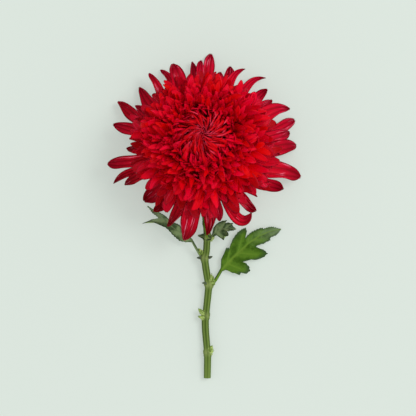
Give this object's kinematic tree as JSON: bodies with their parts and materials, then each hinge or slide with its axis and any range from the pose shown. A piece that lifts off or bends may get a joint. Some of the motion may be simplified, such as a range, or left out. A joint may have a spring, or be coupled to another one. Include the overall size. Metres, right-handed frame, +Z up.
{
  "type": "chrysanthemum",
  "caption": "Cut red chrysanthemum lying face up: a full head of strap-shaped florets on a short bent stem with lobed green leaves and small buds.",
  "frame": {"origin": "on the surface that the flower lies on, under the middle of its bounding box", "axes": "+Z up from the surface; +Y from the cut end of the stem towards the head; +X to the right of the head, seen from above with the stem pointing down"},
  "size_m": [0.1342, 0.2273, 0.0794],
  "materials": {
    "petal": "soft satin, crimson, with darker tips and a paler pink back",
    "stem": "ribbed fresh green skin, matte",
    "leaf": "matte dark green with paler veins",
    "bud": "matte light green"
  },
  "bodies": {
    "root": {"stem": "stem", "receptacle": "stem", "involucre_bracts": "leaf", "leaf_right": "leaf", "leaf_left": "leaf", "leaf_upper": "leaf", "leaf_neck": "leaf", "leaflet": "leaf", "stipule_1": "leaf", "stipule_2": "leaf", "stipule_3": "leaf", "bud_1": "bud", "bud_2": "bud", "bud_3": "bud", "bud_4": "bud", "bud_5": "bud", "outer_floret_01": "petal", "outer_floret_02": "petal", "outer_floret_03": "petal", "outer_floret_04": "petal", "outer_floret_05": "petal", "outer_floret_06": "petal", "outer_floret_07": "petal", "outer_floret_08": "petal", "outer_floret_09": "petal", "outer_floret_10": "petal", "outer_floret_11": "petal", "outer_floret_12": "petal", "outer_floret_13": "petal", "outer_floret_14": "petal", "outer_floret_15": "petal", "outer_floret_16": "petal", "outer_floret_17": "petal", "outer_floret_18": "petal", "outer_floret_19": "petal", "outer_floret_20": "petal", "outer_floret_21": "petal", "outer_floret_22": "petal", "outer_floret_23": "petal", "outer_floret_24": "petal", "outer_floret_25": "petal", "outer_floret_26": "petal", "outer_floret_27": "petal", "outer_floret_28": "petal", "outer_floret_29": "petal", "outer_floret_30": "petal", "outer_floret_31": "petal", "outer_floret_32": "petal", "outer_floret_33": "petal", "outer_floret_34": "petal", "outer_floret_35": "petal", "outer_floret_36": "petal", "floret_whorl_1": "petal", "floret_whorl_2": "petal", "floret_whorl_3": "petal", "floret_whorl_4": "petal", "floret_whorl_5": "petal", "floret_whorl_6": "petal", "floret_heart": "petal"}
  },
  "joints": []
}
